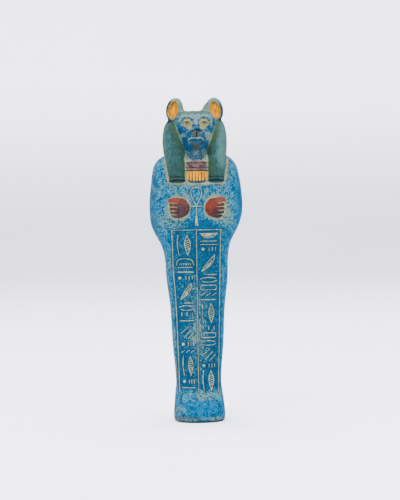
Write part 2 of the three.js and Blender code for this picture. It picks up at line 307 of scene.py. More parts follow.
@dataclass(frozen=True)
class Stroke:
    """A line cut or raised on the front: its points [x, z], half width and height in mm."""

    points: tuple[Point, ...]
    half: float = 0.5
    height: float = -0.45

    def distance(self, x: np.ndarray, z: np.ndarray) -> np.ndarray:
        """Measure how far places on the front lie from the line.

        Args:
            x: Places across in mm.
            z: Heights in mm.

        Returns:
            Distances in mm.
        """
        line = rounded(self.points)
        near = np.full(x.shape, 1e3)
        for (ax, az), (bx, bz) in zip(line, line[1:]):
            dx, dz = bx - ax, bz - az
            t = np.clip(((x - ax) * dx + (z - az) * dz) / max(dx * dx + dz * dz, 1e-9), 0.0, 1.0)
            near = np.minimum(near, np.hypot(x - ax - t * dx, z - az - t * dz))
        return near


def pair(points: tuple[Point, ...], half: float, height: float) -> list[Stroke]:
    """Return a stroke and its mirror image."""
    return [Stroke(points, half, height), Stroke(mirror(points), half, height)]


@dataclass(frozen=True)
class Mark:
    """Strokes of one mark: lines of points [u, v], thin hatching, and dots (u, v, radius).

    u runs from -1 to 1 across the mark's column, and v is in mm above the middle of its row.
    """

    lines: tuple[tuple[Point, ...], ...] = ()
    hatch: tuple[tuple[Point, ...], ...] = ()
    dots: tuple[Place, ...] = ()


def ticks(*places: float) -> tuple[tuple[Point, ...], ...]:
    """Return short upright strokes at the given places across a column."""
    return tuple(((u, 1.1), (u, -1.1)) for u in places)


class Marks(Enum):
    """Marks of the panel: plain strokes, none of them a letter or sign."""

    BAR = Mark((((-0.8, 0), (0.8, 0)),))
    PAIR = Mark((((-0.8, 1.1), (0.8, 1.1)), ((-0.8, -1.1), (0.8, -1.1))))
    TICKS = Mark(ticks(-0.6, 0.0, 0.6))
    DOTTED = Mark(ticks(0.05, 0.37, 0.69), dots=((-0.55, 0.0, 1.35),))
    ARCS = Mark(
        (
            ((-0.85, 0.5), (-0.4, 1.5), (0.35, 1.5), (0.7, 0.7)),
            ((-0.7, -0.7), (-0.35, -1.5), (0.4, -1.5), (0.85, -0.5)),
        )
    )
    RING = Mark(
        (
            ((-0.8, 0), (-0.8, 1.5), (0, 1.5), (0.8, 1.5), (0.8, 0)),
            ((-0.8, 0), (-0.8, -1.5), (0, -1.5), (0.8, -1.5), (0.8, 0)),
        )
    )
    CUP = Mark(
        (((-0.85, 1.6), (0.85, 1.6)), ((-0.65, 0.3), (-0.35, -1.1), (0.35, -1.1), (0.65, 0.3))),
        hatch=(((-0.7, 0.8), (0.7, 0.8)), ((-0.35, 0.0), (0.35, 0.0))),
    )
    ARCH = Mark(
        (((-0.85, -1.6), (-0.7, 2.4), (0.7, 2.4), (0.85, -1.6)), ((-0.7, -3.2), (0.7, -3.2))),
        hatch=tuple(((u, -0.6), (u, -1.7)) for u in (-0.55, -0.33, -0.11, 0.11, 0.33, 0.55)),
    )
    SLANTS = Mark(tuple(((u - 0.2, -0.8), (u + 0.2, 0.8)) for u in (-0.6, 0.0, 0.6)))
    SPRIG = Mark((((-0.75, -1), (0.1, 3.2)), ((-0.4, -3.6), (0.45, 1.6)), ((0.1, -4.4), (0.75, -0.6))))
    REEDS = Mark(
        (
            ((-0.6, 6.3), (-0.72, 0), (-0.55, -6.3)),
            ((0.25, 6.2), (-0.08, 0.6), (0.3, -6.2)),
            ((0.25, 6.2), (0.66, 0.6), (0.3, -6.2)),
        ),
        hatch=tuple(((0.1, v), (0.42, v + 0.9)) for v in (-3.2, -1.8, -0.4, 1.0, 2.4)),
    )
    PLUME = Mark(
        (
            ((0.6, 6.4), (-0.1, 2), (-0.7, -4.2)),
            ((0.6, 6.4), (0.45, 0.8), (-0.7, -4.2)),
            ((-0.3, -6.2), (0.8, -6.2)),
        ),
        hatch=(((-0.32, -2.4), (0.02, 1.0)), ((-0.12, -1.6), (0.2, 2.0)), ((0.12, 0.2), (0.34, 3.2))),
    )


LEFT_COLUMN: tuple[tuple[Marks, float], ...] = (
    (Marks.REEDS, 113.5), (Marks.ARCH, 102.4), (Marks.BAR, 96.2), (Marks.DOTTED, 92.4),
    (Marks.PLUME, 82.4), (Marks.ARCS, 73.0), (Marks.TICKS, 69.0), (Marks.BAR, 64.8),
    (Marks.SPRIG, 57.6), (Marks.DOTTED, 49.6), (Marks.SLANTS, 45.0), (Marks.REEDS, 35.6),
    (Marks.DOTTED, 25.6), (Marks.BAR, 21.8),
)
RIGHT_COLUMN: tuple[tuple[Marks, float], ...] = (
    (Marks.CUP, 119.2), (Marks.PAIR, 114.8), (Marks.DOTTED, 110.8), (Marks.PLUME, 100.6),
    (Marks.ARCS, 91.0), (Marks.RING, 86.0), (Marks.SLANTS, 81.6), (Marks.BAR, 78.2),
    (Marks.REEDS, 69.4), (Marks.TICKS, 60.0), (Marks.RING, 55.2), (Marks.ARCS, 50.2),
    (Marks.SPRIG, 43.0), (Marks.DOTTED, 35.6), (Marks.REEDS, 26.2),
)


@dataclass(frozen=True)
class Spot:
    """A soft oval on the face, of paint, painted shade or a painted highlight: how strong, where and how large
    in mm, and on which side.
    """

    zone: Zone
    strength: float
    middle: Point
    radii: Point
    side: int = 0


@dataclass(frozen=True)
class Panel:
    """The framed panel of strokes down the legs, in mm."""

    top: float = 123.2
    bottom: float = 18.8
    half_top: float = 15.9
    half_bottom: float = 13.35
    x: float = -0.65
    slip: float = 1.1
    slip_top: float = 93.0
    slip_end: float = 78.0
    corner: float = 0.4
    line_half: float = 0.38
    clear: float = 1.1
    depth: float = 0.5
    hatch_half: float = 0.32
    hatch_depth: float = 0.25
    dot: float = 0.05

    def half(self, z: np.ndarray | float, side: np.ndarray | int) -> np.ndarray:
        """Return the width of one column, whose outer line slips inwards on the left.

        Args:
            z: Height in mm.
            side: Below 0 for the left column.

        Returns:
            The width in mm.
        """
        share = (self.top - z) / (self.top - self.bottom)
        slipped = np.clip((self.slip_top - z) / (self.slip_top - self.slip_end), 0.0, 1.0)
        inward = np.where(np.less(side, 0), self.slip * slipped, 0.0)
        return self.half_top + (self.half_bottom - self.half_top) * share - inward

    def frame_lines(self) -> list[Stroke]:
        """Return the upper line, the two sides and the line between the columns."""
        wide = self.half_top + self.corner
        paths = [((self.x - wide, self.top), (self.x + wide, self.top))]
        heights = (self.top, self.slip_top, self.slip_end, self.bottom)
        for side in (-1, 0, 1):
            paths.append(tuple((self.x + side * float(self.half(z, side)), z) for z in heights))
        return [Stroke(path, self.line_half, -self.depth) for path in paths]

    def mark_lines(self) -> list[Stroke]:
        """Place every mark of both columns.

        Returns:
            The strokes, hatching and dots of the panel.
        """
        placed: list[Stroke] = []
        for side, column in ((-1, LEFT_COLUMN), (1, RIGHT_COLUMN)):
            for mark, row in column:
                def on(point: Point) -> Point:
                    """Move a point of the mark to its place on the panel."""
                    wide = float(self.half(row + point[1], side)) / 2
                    return self.x + side * wide + point[0] * (wide - self.clear), row + point[1]

                for line in mark.value.lines:
                    placed.append(Stroke(tuple(map(on, line)), self.line_half, -self.depth))
                for line in mark.value.hatch:
                    placed.append(Stroke(tuple(map(on, line)), self.hatch_half, -self.hatch_depth))
                for u, v, radius in mark.value.dots:
                    x, z = on((u, v))
                    placed.append(Stroke(((x - self.dot, z), (x + self.dot, z)), radius, -self.depth))
        return placed


@dataclass
class Carving:
    """The carved surface while it is worked: its points, their normals and what is painted on them."""

    mesh: bpy.types.Mesh
    points: np.ndarray = field(init=False)
    normals: np.ndarray = field(init=False)
    moved: np.ndarray = field(init=False)
    zones: dict[Zone, np.ndarray] = field(init=False)

    def __post_init__(self) -> None:
        """Read the mesh into millimetres about the body's axis."""
        self.points = read(self.mesh.vertices, "co") / MM
        self.normals = read(self.mesh.vertex_normals, "vector")
        self.moved = np.zeros(self.points.shape)
        self.zones = {zone: np.zeros(len(self.points)) for zone in Zone}

    @property
    def front(self) -> np.ndarray:
        """Tell how squarely each point faces the front, from 0 to 1."""
        return smooth(0.05, 0.4, -self.normals[:, 1])

    def rough(self, scale: float) -> np.ndarray:
        """Return a smooth random field from about -1 to 1, with features of a size in mm."""
        return np.array([noise.noise(Vector(p)) for p in self.points / scale])

    def oval(self, middle: Point, radii: Point) -> np.ndarray:
        """Draw a soft oval on both sides of the middle.

        Args:
            middle: Its middle, as the distance across and the height in mm.
            radii: Half its width and height in mm.

        Returns:
            Each point's share of it, from 0 to 1.
        """
        across = (np.abs(self.points[:, 0]) - middle[0]) / radii[0]
        up = (self.points[:, 2] - middle[1]) / radii[1]
        return smooth(1.2, 0.5, np.hypot(across, up))

    def push(self, height: np.ndarray) -> None:
        """Move points along their normals by a height in mm."""
        self.moved += self.normals * height[:, None]

    def paint(self, zone: Zone, share: np.ndarray) -> None:
        """Add a share of paint to a zone, keeping the stronger one."""
        self.zones[zone] = np.maximum(self.zones[zone], np.clip(share, 0.0, 1.0))

    def write(self) -> None:
        """Put the points and zones back into the mesh."""
        done = (self.points + self.moved) * MM
        self.mesh.vertices.foreach_set("co", done.ravel())
        for zone, share in self.zones.items():
            layer = self.mesh.attributes.new(zone.value, "FLOAT", "POINT")
            layer.data.foreach_set("value", share.astype(np.float32))
        self.mesh.update()


@dataclass
class Figurine:
    """The carved figure: the forms it is built from, in mm about the body's axis."""

    voxel: float = 1.15
    cuts: int = 2
    passes: int = 4
    soften: float = 0.5
    regain: float = -0.52
    waves: tuple[Point, ...] = ((0.09, 7.0), (0.05, 2.4))
    hand_z: float = 137.0
    ankh_x: float = -0.5
    eye: Point = (5.6, 192.4)
    nose_z: float = 187.5
    ear_middle: Point = (0.4, -1.5)
    ear_hollow: Point = (3.7, 5.9)
    ear_taper: float = 0.16
    ear_depth: float = 2.2
    petals: int = 7
    petal_pitch: float = 2.0
    petal_end: float = 155.0
    ribs: int = 11
    rib_pitch: float = 0.72
    finger_pitch: float = 2.5
    finger_cut: float = 0.8
    sole_level: float = 0.5
    panel: Panel = Panel()

    body: Loft = loft(
        (0, 15.7, 23.8, 13.2), (1.6, 16.7, 24.8, 14), (7.5, 16.6, 24.5, 14), (12.5, 16.1, 22.4, 14),
        (17, 15.6, 17.8, 14), (23.5, 14.9, 13.4, 14.2), (32, 15.2, 12.2, 14.6), (51, 16.8, 12.5, 15.2),
        (73, 17.9, 13.2, 15.2), (91, 20, 14.2, 16.2), (106.5, 20.9, 15.2, 17.2, -0.25),
        (115, 22.9, 16.2, 17.4, -0.8), (121, 26.1, 17.2, 17.6, -1), (127, 28.8, 18.2, 18, -0.75),
        (133, 30.1, 19, 18.4, -0.25), (139.5, 30.5, 19.5, 18.8), (148, 30, 19.6, 19.2),
        (156, 29, 19.3, 19.2), (163, 27.8, 18.3, 18.6, -0.25), (167, 26.3, 17.1, 17.6, -0.3),
        (170, 23.9, 15.6, 15.8, -0.3), (172.4, 19.8, 13, 13), (174, 13, 9, 9),
        square=2.5,
    )
    cap: Loft = loft(
        (165, 17.8, 8, 19.6), (171, 19.9, 8.5, 20.2), (176, 20.9, 9, 20.4), (181, 21.3, 9.4, 20.3),
        (186, 21.1, 9.5, 19.9), (190.5, 20.3, 9.2, 18.8), (194.5, 18.6, 8.6, 16.8),
        (197.8, 15.2, 7.6, 14), (200, 10.8, 6, 10), (201.2, 5, 3, 4),
    )
    back_tress: Loft = loft(
        (151, 12.3, -10, 20.7), (153, 13, -10, 21.3), (162, 14.2, -10, 21.4), (172, 15.2, -10, 21.2),
        (180, 15.6, -10, 20.6), (187, 14.2, -10, 18.6), (192, 10.6, -10, 15),
        square=3.0,
    )
    tress: Loft = loft(
        (154, 4.5, 22.2, -10, 12.4), (155.4, 4.75, 22.7, -10, 12.45), (160, 5.1, 22.3, -9, 12.8),
        (166, 5.6, 20.6, -7, 13.3), (172, 6, 17.6, -4, 13.7), (178, 6.4, 15, -2, 13.9),
        (184, 6.7, 12.8, 0, 13.6), (189, 6.4, 10.6, 0, 12.8), (193, 5.4, 7.6, 0, 11.4),
        (196.5, 3.6, 4, 0, 9.6),
        square=3.0,
    )
    mask: Loft = loft(
        (167.6, 5.5, 17.4, 0), (169, 5.9, 18, 0), (173, 6.5, 18.2, 0), (177.5, 8, 18.8, 0),
        (180.5, 9.1, 19.3, 0), (184, 10.4, 19.4, 0), (188.4, 11.8, 18.4, 0), (193, 12.6, 16.4, 0),
        (196.6, 12.2, 13.8, 0), (199.4, 10.4, 11.2, 0), (200.9, 6.5, 7, 0),
    )
    band: Loft = loft((161.4, 9, 19.8, -8), (164.2, 9, 19.3, -8), (167, 8.6, 18.3, -8))
    bib: Loft = loft(
        (153.7, 6.2, 20.2, -10), (154.7, 6.9, 20.8, -10), (159.6, 7.2, 20.4, -10),
        (160.6, 7.2, 19.7, -10),
        square=3.0,
    )
    fingers: Loft = loft(
        (131.4, 2.7, 19.4, -12, 12.2), (132.6, 3.6, 20.1, -12, 12.7), (136, 4.1, 20.4, -12, 13.0),
        (139.4, 4.2, 20.5, -12, 13.1), (140.6, 3.8, 20.2, -12, 13.0),
        square=3.0,
    )

    ear_foot: Egg = Egg((8.1, -3.2, 202.6), (3.0, 2.6, 5.6), (0.0, 0.54, 0.3))

    def flipped(self, form: Loft) -> Loft:
        """Return a loft on the other side of the middle."""
        turned = tuple(Station(s.z, s.half, s.front, s.back, -s.x) for s in form.stations)
        return Loft(turned, form.square, form.step, form.sides)

    def face_forms(self) -> list[Loft | Egg]:
        """Return the mask, muzzle, chin, nose, bridge and the muzzle's two pads."""
        nose = self.nose_z
        lumps = [
            Egg((0, -18.4, nose - 4.1), (6.9, 5.8, 5.4)),
            Egg((0, -18.2, nose - 8.9), (4.6, 4.4, 2.9)),
            Egg((0, -23.5, nose), (3.0, 1.6, 1.5)),
            Egg((0, -17.2, nose + 4.9), (1.9, 1.9, 7.0), (-0.863, 0, 0)),
        ]
        pads = [Egg((side * 3.2, -21.0, nose - 3.8), (3.6, 3.3, 3.1)) for side in SIDES]
        return [self.mask, *lumps, *pads]

    def hand_forms(self) -> list[Loft | Egg]:
        """Return the back, fingers and thumb of both fists."""
        made: list[Loft | Egg] = []
        for side in SIDES:
            back_x, back_z = side * 10.1, self.hand_z + 0.4
            thumb_x, thumb_z = side * 13.2, self.hand_z + 5.1
            back = Egg((back_x, self.body.front(back_x, back_z), back_z), (5.0, 2.9, 5.5))
            thumb = Egg((thumb_x, self.body.front(thumb_x, thumb_z) - 0.5, thumb_z), (6.3, 1.6, 1.35))
            made += [back, thumb, self.fingers if side > 0 else self.flipped(self.fingers)]
        return made

    def wig_forms(self) -> list[Loft | Egg]:
        """Return the cap, the tress at the back and the two in front."""
        return [self.cap, self.back_tress, self.tress, self.flipped(self.tress)]

    def ear_forms(self) -> list[Egg]:
        """Return the two standing ears, before they are hollowed."""
        made: list[Egg] = []
        for side in SIDES:
            made.append(Egg((side * 13.2, -3.4, 201.8), (6.2, 3.7, 8.3), (0, -side * 0.2, side * 0.45)))
        return made

    def nearest(self, forms: list[Loft | Egg], points: np.ndarray) -> np.ndarray:
        """Return each point's distance in mm to the nearest of some forms."""
        return np.min([form.distance(points) for form in forms], axis=0)

    def build(self) -> bpy.types.Object:
        """Model the forms, fuse them into one skin and carve and paint it.

        Returns:
            The finished figure.
        """
        forms = [self.body, *self.wig_forms(), *self.face_forms(), *self.ear_forms(), self.ear_foot]
        forms += [self.band, self.bib, *self.hand_forms()]
        parts = [form.build() for form in forms]
        deselect()
        for part in parts:
            part.select_set(True)
        bpy.context.view_layer.objects.active = parts[0]
        bpy.ops.object.join()
        figure = bpy.context.object
        figure.name = "painted_figurine"
        self.fuse(figure)
        self.refine(figure)
        carving = Carving(figure.data)
        self.hollow_ears(carving)
        self.carve(carving)
        self.paint_zones(carving)
        carving.write()
        self.set_down(figure)
        return figure

    def finish_modifier(self, figure: bpy.types.Object, kind: str, **settings: float | str | bool) -> None:
        """Add a modifier and apply it.

        Args:
            figure: The active object.
            kind: The modifier's type.
            **settings: Its values.
        """
        modifier = figure.modifiers.new(kind.lower(), kind)
        for name, value in settings.items():
            setattr(modifier, name, value)
        bpy.ops.object.modifier_apply(modifier=modifier.name)

    def fuse(self, figure: bpy.types.Object) -> None:
        """Turn the joined forms into one even skin and soften its corners."""
        self.finish_modifier(figure, "REMESH", mode="VOXEL", voxel_size=self.voxel * MM)
        for _ in range(self.passes):
            self.finish_modifier(figure, "SMOOTH", factor=self.soften, iterations=1)
            self.finish_modifier(figure, "SMOOTH", factor=self.regain, iterations=1)
        self.finish_modifier(figure, "SMOOTH", factor=self.soften, iterations=2)

    def refine(self, figure: bpy.types.Object) -> None:
        """Subdivide the faces that carry carving."""
        mesh = figure.data
        points = read(mesh.polygons, "center") / MM
        x, y, z = np.abs(points[:, 0]), points[:, 1], points[:, 2]
        ahead = -read(mesh.polygons, "normal")[:, 1]

        def window(low: float, high: float, facing: float) -> np.ndarray:
            """Tell which faces lie between two heights and face the front."""
            return (z > low) & (z < high) & (ahead > facing)

        panel = (x < self.panel.half(z, 1) + 2.2) & window(17.6, 124.6, 0.2)
        hands = (x > 3.5) & (x < 20.5) & window(self.hand_z - 8.2, self.hand_z + 8.2, 0.2)
        ankh = (x < 4.8) & window(124.4, 152.0, 0.3)
        collar = (x < 9.5) & window(152.6, 169.0, 0.1)
        tresses = (x > 6.5) & (x < 19.0) & (y < -8) & window(152.2, 160.0, 0.0)
        face = (self.nearest(self.face_forms(), points) < 1.4) & (y < -6)
        ears = (self.nearest(self.ear_forms(), points) < 0.6) & (ahead > -0.1)
        chosen = panel | hands | ankh | collar | tresses | face | ears
        mesh.polygons.foreach_set("select", chosen)
        bpy.context.tool_settings.mesh_select_mode = (False, False, True)
        bpy.ops.object.mode_set(mode="EDIT")
        bpy.ops.mesh.subdivide(number_cuts=self.cuts, smoothness=0.0)
        bpy.ops.mesh.vertices_smooth(factor=self.soften, repeat=6)
        bpy.ops.object.mode_set(mode="OBJECT")

    def hollow_ears(self, carving: Carving) -> None:
        """Sink the front of each ear and paint it gold, lighter in the middle and toward the bottom as painted
        light and shade, with a dark outer edge.
        """
        for side, middle, ear in zip(SIDES, self.ear_middle, self.ear_forms()):
            own = ear.local(carving.points)
            on = (ear.distance(carving.points) < 1.2) & (own[:, 1] < 1.4)
            wide = self.ear_hollow[0] - self.ear_taper * own[:, 2]
            reach = np.hypot((own[:, 0] - middle) / wide, (own[:, 2] + 0.1) / self.ear_hollow[1])
            sink = np.where(on, self.ear_depth * smooth(1.0, 0.7, reach), 0.0)
            facing = np.array(Euler(ear.turn).to_matrix()) @ np.array((0.0, -1.0, 0.0))
            carving.moved -= sink[:, None] * facing
            # The gold is lighter in the middle of the hollow and toward its bottom, and darker toward its
            # edges and top: painted light and shade.
            bright = 0.68 + 0.16 * smooth(1.0, 0.5, reach) + 0.16 * smooth(3.0, -3.5, own[:, 2])
            carving.paint(Zone.GOLD, on * smooth(1.02, 0.92, reach) * bright)
            outer = smooth(-1.5, 1.5, side * own[:, 0] - 0.5 * own[:, 2])
            rim = smooth(1.08, 1.16, reach) * smooth(1.7, 1.4, reach)
            carving.paint(Zone.INK_AND_SHADE, on * 0.9 * outer * rim)

    def cut(
        self, carving: Carving, strokes: list[Stroke], zone: Zone, wide: float = 1.0, shade: float = 0.0
    ) -> None:
        """Cut or raise strokes on the front and paint them.

        Args:
            carving: The surface.
            strokes: Lines to work.
            zone: What the lines are painted with.
            wide: Width of the painted line as a share of the stroke's.
            shade: How much painted shade darkens the paint beside the lines.
        """
        x, z = carving.points[:, 0], carving.points[:, 2]
        ahead = carving.front > 0
        wobble = 0.1 * carving.rough(1.6)
        height, share, beside = (np.zeros(x.shape) for _ in range(3))
        for stroke in strokes:
            reach = max(stroke.half, 0.3) * 1.6 + (1.2 if shade else 0.0)
            spots = np.array(stroke.points)
            low, high = spots.min(axis=0) - reach, spots.max(axis=0) + reach
            near = ahead & (x > low[0]) & (x < high[0]) & (z > low[1]) & (z < high[1])
            gap = stroke.distance(x[near], z[near]) + wobble[near]
            depth = stroke.height * smooth(stroke.half * 1.25, stroke.half * 0.15, gap)
            height[near] = np.where(np.abs(depth) > np.abs(height[near]), depth, height[near])
            line = smooth(stroke.half * 1.2 * wide, stroke.half * 0.55 * wide, gap)
            share[near] = np.maximum(share[near], line)
            beside[near] = np.maximum(beside[near], smooth(stroke.half + 1.2, stroke.half, gap))
        carving.push(height * carving.front)
        carving.paint(zone, share * carving.front)
        carving.paint(Zone.DEEP_AND_SHADE, shade * beside * carving.front)

    def carve(self, carving: Carving) -> None:
        """Cut the panel, ankh, collar, fingers and face."""
        # The panel's and the ankh's lines get painted shade beside them.
        self.cut(carving, self.panel.frame_lines() + self.panel.mark_lines(), Zone.CREAM, 0.85, 0.6)
        self.cut(carving, self.ankh_lines(), Zone.CREAM, 0.85, 0.65)
        self.cut(carving, self.finger_lines(), Zone.CREAM, 0.9)
        self.cut(carving, self.petal_lines(), Zone.TAN, 0.8)
        self.cut(carving, self.rib_lines(), Zone.INK_AND_SHADE, 0.28)
        self.cut(carving, self.band_lines(), Zone.INK_AND_SHADE, 0.8)
        self.cut(carving, self.hem_lines(), Zone.INK_AND_SHADE)
        self.carve_face(carving)

    def ankh_lines(self) -> list[Stroke]:
        """Return the ankh's loop, bar and flared stem."""
        middle, top, cross, end = self.ankh_x, 150.3, 138.5, 126.1
        neck = ((0.0, cross), (1.5, cross + 3.2), (3.2, cross + 6.4))
        loop = (*neck, (3.8, top - 2.2), (2.3, top), (0.0, top))
        flare = ((0.3, end + 6), (0.85, end))
        made = [
            Stroke(((middle - 3.5, cross), (middle + 3.5, cross)), 0.5, -0.5),
            Stroke(((middle, cross), (middle, end)), 0.44, -0.5),
        ]
        for side in SIDES:
            for path in (loop, flare):
                made.append(Stroke(tuple((middle + side * x, z) for x, z in path), 0.4, -0.5))
        return made

    def finger_lines(self) -> list[Stroke]:
        """Return the cuts between the fingers of both fists, each wider at the finger tips."""
        made: list[Stroke] = []
        for k in range(4):
            z, tip = self.hand_z + 3.6 - self.finger_pitch * k, 18.0 - 0.35 * k
            for x, half in ((12.4, 0.18), (13.8, 0.32), (15.2, 0.5)):
                made += pair(((x, z - 0.25), (tip, z)), half, -self.finger_cut)
        return made

    def petal_lines(self) -> list[Stroke]:
        """Return the cuts between the collar's hanging petals."""
        edges = [(k - self.petals / 2) * self.petal_pitch for k in range(1, self.petals)]
        return [Stroke(((x, 160.2), (x, 157.0), (x * 1.02, 153.6)), 0.4, -0.6) for x in edges]

    def rib_lines(self) -> list[Stroke]:
        """Return the fine ribs of the collar's band."""
        places = [k * self.rib_pitch for k in range(-self.ribs, self.ribs + 1)]
        return [Stroke(((x, 166.2), (x, 162.2)), 0.26, -0.2) for x in places]

    def band_lines(self) -> list[Stroke]:
        """Return the lines across the collar's band and the cut under it."""
        across = [Stroke(((-7.4, z), (7.4, z)), 0.3, -0.22) for z in (166.3, 163.4)]
        return across + [Stroke(((-7.6, 161.2), (7.6, 161.2)), 0.45, -0.5)]

    def hem_lines(self) -> list[Stroke]:
        """Return the lines across the ends of the wig's front tresses."""
        made: list[Stroke] = []
        for z, half in ((157.0, 0.26), (154.7, 0.6)):
            made += pair(((7.4, z), (12.0, z + 0.3), (17.6, z)), half, -0.3)
        return made

    def carve_face(self, carving: Carving) -> None:
        """Shape and paint the eyes, brows, nose, mouth and cheeks, with painted shade about the muzzle and
        painted highlights on the cheeks.
        """
        x, z = carving.points[:, 0], carving.points[:, 2]
        side = np.abs(x)
        face = np.where(self.nearest(self.face_forms(), carving.points) < 1.5, carving.front, 0.0)
        eye_x, eye_z = self.eye
        nose = self.nose_z
        ball = np.hypot((side - eye_x) / 3.0, (z - eye_z + 0.3) / 2.3)
        carving.push(face * (0.7 * smooth(1.0, 0.2, ball) - 0.4 * smooth(0.25, 0.0, np.abs(ball - 1.1))))
        lid = ((3.4, eye_z - 0.3), (4.8, eye_z + 0.5), (6.6, eye_z + 0.5), (8.0, eye_z - 0.6))
        fold = ((2.9, eye_z + 1.4), (4.4, eye_z + 2.7), (7.2, eye_z + 2.6), (9.0, eye_z + 0.6))
        brow = ((1.7, eye_z + 2.4), (3.4, eye_z + 4.4), (8.0, eye_z + 4.4), (10.6, eye_z + 0.8))
        nostril = ((0.3, nose - 0.4), (1.8, nose - 1.2), (3.7, nose - 1.0))
        corner, bow = ((-5.3, 180.8), (5.2, 180.3)), ((-3.4, 181.8), (-1.6, 182.0))
        lip = (corner[0], *bow, (0.0, 181.5), *reversed(mirror(bow)), corner[1])
        parting = ((0.0, 186.2), (0.0, 182.4))
        under_lip = ((-3.0, 179.2), (0.0, 178.6), (2.4, 179.0))
        works = [
            (pair(lid, 0.4, -0.3), Zone.INK_AND_SHADE, 0.9),
            (pair(fold, 0.36, -0.35), Zone.TAN, 1.0),
            (pair(brow, 0.8, 0.5), Zone.PALE_AND_HIGHLIGHT, 0.7),
            (pair(nostril, 0.5, -0.4), Zone.INK_AND_SHADE, 1.0),
            ([Stroke(lip, 0.36, -0.3)], Zone.CREAM, 0.9),
            ([Stroke(parting, 0.4, -0.5)], Zone.INK_AND_SHADE, 1.0),
            ([Stroke(under_lip, 0.5, 0.2)], Zone.TAN, 0.8),
        ]
        for strokes, zone, wide in works:
            for stroke in strokes:
                self.cut(carving, [stroke], zone, wide)
        strips = smooth(0.4, 0.8, side) * smooth(3.0, 2.3, side)
        strips *= smooth(182.4, 183.0, z) * smooth(186.4, 185.6, z)
        ridge = smooth(1.9, 0.8, side) * smooth(nose + 2.0, nose + 3.2, z) * smooth(198.5, 195.0, z)
        forehead = smooth(194.8, 196.4, z) * smooth(199.0, 198.0, z)
        shares = (
            (Zone.EYE, 0.9 * smooth(1.35, 0.9, ball)),
            (Zone.TAN, 0.85 * strips),
            (Zone.PALE_AND_HIGHLIGHT, 0.65 * ridge),
            (Zone.PALE_AND_HIGHLIGHT, 0.55 * forehead),
            (Zone.OLIVE, (0.55 + 0.4 * carving.rough(3.0)) * smooth(197.4, 199.2, z)),
        )
        spots = (
            Spot(Zone.EYE, 0.75, (4.2, eye_z - 3.1), (2.3, 1.9)),
            Spot(Zone.EYE, 0.6, (eye_x - 0.1, eye_z + 2.0), (3.3, 1.1)),
            Spot(Zone.INK_AND_SHADE, 0.8, (eye_x - 0.1, eye_z - 0.5), (1.35, 1.15)),
            Spot(Zone.INK_AND_SHADE, 0.4, (0.0, nose - 0.3), (2.4, 1.2)),
            # Painted shade under the mouth, over the chin.
            Spot(Zone.INK_AND_SHADE, 0.3, (0.2, 176.6), (3.6, 2.8)),
            Spot(Zone.TAN, 0.6, (0.4, 176.2), (3.6, 2.6)),
            Spot(Zone.TAN, 0.42, (2.0, 171.2), (5.0, 3.2)),
            # Painted highlights on the outer cheeks, stronger on the right.
            Spot(Zone.PALE_AND_HIGHLIGHT, 0.6, (8.6, 184.0), (2.8, 1.7), -1),
            Spot(Zone.PALE_AND_HIGHLIGHT, 0.95, (8.0, 183.6), (3.1, 3.2), 1),
            Spot(Zone.PALE_AND_HIGHLIGHT, 0.8, (9.4, 181.0), (1.7, 5.2), 1),
            # Deeper blue on the outer cheeks, beside the muzzle, under it and under the mouth line, stronger
            # on the left: painted shade.
            Spot(Zone.DEEP_AND_SHADE, 0.75, (10.3, 187.3), (2.7, 2.9), -1),
            Spot(Zone.DEEP_AND_SHADE, 0.4, (9.8, 189.0), (2.0, 2.2), 1),
            Spot(Zone.DEEP_AND_SHADE, 0.8, (4.6, 184.6), (1.9, 2.9), -1),
            Spot(Zone.DEEP_AND_SHADE, 0.65, (4.2, 183.6), (1.7, 2.0), 1),
            Spot(Zone.DEEP_AND_SHADE, 0.9, (7.9, 178.2), (3.2, 5.0), -1),
            Spot(Zone.DEEP_AND_SHADE, 0.62, (5.4, 177.8), (3.0, 2.8), 1),
            Spot(Zone.DEEP_AND_SHADE, 0.8, (0.0, 180.3), (4.2, 1.0)),
            # The nose's own deep blue, and painted shade beside its bridge.
            Spot(Zone.DEEP_AND_SHADE, 0.6, (0.0, nose + 0.4), (2.6, 1.4)),
            Spot(Zone.DEEP_AND_SHADE, 0.55, (2.1, nose + 2.6), (0.8, 2.2)),
            Spot(Zone.CREAM, 0.42, (9.0, 183.4), (2.0, 3.2), 1),
        )
        for zone, share in shares:
            carving.paint(zone, face * share)
        for spot in spots:
            here = face * (x * spot.side > 0) if spot.side else face
            carving.paint(spot.zone, here * spot.strength * carving.oval(spot.middle, spot.radii))

